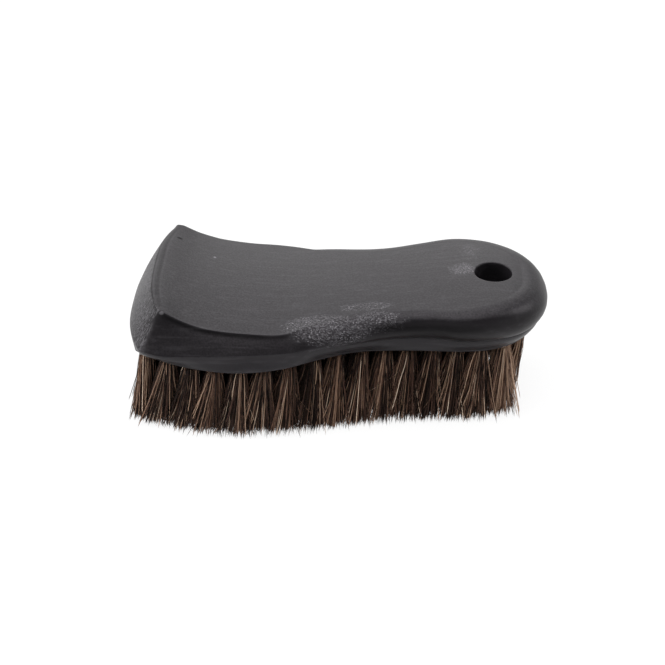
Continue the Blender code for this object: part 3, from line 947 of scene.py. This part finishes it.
def tuft(dice, root, tip, count, spread, middle_tone):
    """The hairs of one tuft: they leave its hole in locks, fan out and cross here and there."""
    # Each lock keeps to a direction and a share of the fan, and its loose hairs go their own way
    lock_angle = dice.random(locks) * 2 * math.pi
    lock_share = np.sqrt(dice.random(locks))
    lock_tone = dice.normal(0, 0.17, locks)
    lock = dice.integers(0, locks, count)
    loose = dice.random(count) < 0.45
    loose_angle = dice.random(count) * 2 * math.pi
    angle = np.where(loose, loose_angle, lock_angle[lock] + dice.normal(0, 0.12, count))
    loose_share = np.sqrt(dice.random(count))
    share = np.where(loose, loose_share, lock_share[lock] + dice.normal(0, 0.06, count))
    out = np.column_stack([np.cos(angle), np.sin(angle)])
    roots = root + out * (root_radius * share)[:, None] + dice.normal(0, 0.0002, (count, 2))
    wide = np.where(loose, dice.uniform(0.5, 1.45, count), 1.0)
    tips = tip + out * (share * wide)[:, None] * spread + dice.normal(0, 0.0009, (count, 2))

    # Some hairs lean across the others, and some are short
    across = dice.random(count) < 0.22
    tips[across] += np.clip(dice.normal(0, 0.55, (int(across.sum()), 2)), -1, 1) * spread
    tips = tip + np.clip(tips - tip, -1.3 * spread, 1.3 * spread)
    tip_z = 0.0001 + np.abs(dice.normal(0, 0.0006, count))
    short = dice.random(count) < 0.12
    tip_z[short] += dice.uniform(0, 0.008, int(short.sum()))

    # Most hairs are either dark or middling, and a few are light and thick
    own_tone = np.where(dice.random(count) < 0.5, -0.24, 0.19) + dice.normal(0, 0.10, count)
    tone = np.clip(middle_tone + np.where(loose, 0, lock_tone[lock]) + own_tone, 0.0, 0.9)
    light = dice.random(count) < 0.08
    tone[light] = dice.uniform(0.86, 1.0, int(light.sum()))
    loose_bend = dice.uniform(0.8, 2.4, count)
    return {
        "roots": rooted(roots),
        "tips": np.column_stack([tips, tip_z]),
        "bend": np.where(loose | across, loose_bend, 1.25 + dice.normal(0, 0.08, count)),
        "wave": dice.normal(0, 0.0005, (count, 2)),
        "radius": np.where(light, 0.00017, dice.uniform(0.00010, 0.00017, count)),
        "tone": tone,
    }


def stray_hairs(dice, root, tip, count):
    """A few long light hairs that curl away across their neighbours, and inwards near the ends."""
    near_end = abs(tip[0]) >= stray_turn_x
    side = -np.sign(tip[0]) * np.ones(count) if near_end else dice.choice([-1.0, 1.0], count)
    run = dice.uniform(0.006, 0.015, count) * side
    tips = tip + np.column_stack([run, dice.normal(0, 0.0015, count)])
    lift = np.abs(dice.normal(0.003, 0.004, count)) + 0.0003
    roots = root + dice.normal(0, 0.0009, (count, 2))
    bend = dice.uniform(1.6, 3.2, count)
    curl = -0.22 * run * dice.uniform(0.2, 1.2, count)
    return {
        "roots": rooted(roots),
        "tips": np.column_stack([tips, lift]),
        "bend": bend,
        "wave": np.column_stack([curl, dice.normal(0, 0.0006, count)]),
        "radius": dice.uniform(0.00009, 0.00013, count),
        "tone": dice.uniform(0.70, 1.0, count),
    }


def settled(root, tip, number, ending, order, outer):
    """A tuft's root and tip, once outer tufts are shifted and every other inner one is staggered."""
    root, tip = np.array(root), np.array(tip)
    if outer:
        tip += [0, side_shift * np.sign(root[1])]
    if number == 1:
        root, tip = root - [end_root_shift, 0], tip + [nose_tip_shift, 0]
    if ending == "_far":
        tip += [hole_shift * np.sign(hole_x - root[0]), 0]
    if number == len(COLUMN_TONES):
        root, tip = root - [end_root_shift, 0], tip - [tail_tip_shift, 0]
    if order % 2 and not outer:
        root, tip = root + [column_pitch / 2, 0], tip + [column_pitch / 2, 0]
    return root, tip


def make_hair(material, dice):
    """The tufts of each column, as fine hairs that leave their hole together and fan out."""
    for number, ending, places in tuft_columns():
        at_end = number in (1, len(COLUMN_TONES))
        full = half_column_fullness if ending else 1.0
        groups = []
        for order, (root, tip) in enumerate(places):
            at_side = order in (0, len(places) - 1)
            outer = at_side or at_end
            root, tip = settled(root, tip, number, ending, order, outer)
            middle_tone = COLUMN_TONES[number - 1] + dice.normal(-0.02, 0.05)
            count, reach = outer_hairs if outer else inner_hairs
            held_in = np.where([at_end, at_side], outer_narrowing, 1.0)
            spread = reach * full**0.3 * held_in
            groups.append(tuft(dice, root, tip, int(count * full), spread, middle_tone))
            if at_side and not at_end:
                groups.append(stray_hairs(dice, root, tip, strays_per_tuft))
        joined = {key: np.concatenate([group[key] for group in groups]) for key in groups[0]}
        strands = hair_object(f"hair_column_{number:02d}{ending}", **joined)
        strands.data.materials.append(material)
        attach(strands, "root")
        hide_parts(f"tuft_column_{number:02d}{ending}")


# Stage


def shown_to(tree, by_gloss):
    """The background's share for each kind of ray: all for the camera and glass, some by way of gloss."""
    ray = node(tree, "ShaderNodeLightPath")
    reflected = product(tree, ray.outputs["Is Glossy Ray"], by_gloss)
    return largest(tree, ray.outputs["Is Camera Ray"], ray.outputs["Is Transmission Ray"], reflected)


def make_floor():
    """A pale floor that shows nearly white and keeps the brush's shadow."""
    reach = 3.0
    corners = [(-reach, -reach, 0), (reach, -reach, 0), (reach, reach, 0), (-reach, reach, 0)]
    data = bpy.data.meshes.new("floor")
    data.from_pydata(corners, [], [(0, 1, 2, 3)])
    material, tree, shader = new_material("white floor")
    pale = (0.82, 0.82, 0.82, 1)
    fill(tree, shader, {"Base Color": pale, "Roughness": 0.9, "Specular IOR Level": 0.1})
    glow = node(tree, "ShaderNodeEmission", {"Color": (1, 1, 1, 1), "Strength": 1.0})
    glow_share = product(tree, shown_to(tree, 1.0), 0.85)
    inputs = {0: glow_share, 1: shader.outputs[0], 2: glow.outputs[0]}
    surface = node(tree, "ShaderNodeMixShader", inputs).outputs[0]
    fill(tree, tree.nodes["Material Output"], {"Surface": surface})
    data.materials.append(material)
    add_object("floor", data)


def make_world():
    """A white studio: bright for gloss on the far side, dark on the near one, and dim as plain light."""
    world = bpy.data.worlds.new("studio")
    world.use_nodes = True
    tree = world.node_tree
    direction = node(tree, "ShaderNodeTexCoord").outputs["Generated"]
    far = node(tree, "ShaderNodeSeparateXYZ", {0: direction}).outputs["Y"]
    by_gloss = mapped(tree, far, -0.25, 0.25, to_low=0.12, to_high=1.0)
    strength = largest(tree, shown_to(tree, by_gloss), 0.06)
    fill(tree, tree.nodes["Background"], {"Color": (1, 1, 1, 1), "Strength": strength})
    bpy.context.scene.world = world


def make_softboxes():
    for name, (place, size, watts) in SOFTBOXES.items():
        data = bpy.data.lights.new(name, "AREA")
        data.shape = "RECTANGLE"
        data.size, data.size_y = size
        data.energy = watts
        lamp = add_object(name, data)
        lamp.location = place
        lamp.rotation_euler = (lit_point - Vector(place)).to_track_quat("-Z", "Y").to_euler()


def make_camera():
    data = bpy.data.cameras.new("camera")
    data.sensor_width = sensor_mm
    data.lens = focal_pixels * sensor_mm / image_width
    data.clip_start = 0.01
    level = math.cos(camera_tilt)
    right = Vector((math.cos(camera_yaw), -math.sin(camera_yaw), 0))
    ahead = Vector((math.sin(camera_yaw) * level, math.cos(camera_yaw) * level, -math.sin(camera_tilt)))
    turned = Matrix((right, right.cross(ahead), -ahead)).transposed().to_4x4()
    camera = add_object("camera", data)
    camera.matrix_world = Matrix.Translation(camera_place) @ turned
    bpy.context.scene.camera = camera


bpy.context.scene.view_settings.view_transform = "Standard"
make_camera()
make_floor()
make_world()
make_softboxes()
plastic = black_plastic()
for make, replaced in ((make_grip, "grip_moulding"), (make_block, "tuft_block")):
    body = make()
    body.data.materials.append(plastic)
    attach(body, "root")
    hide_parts(replaced)
make_hair(horsehair(), np.random.default_rng(11))
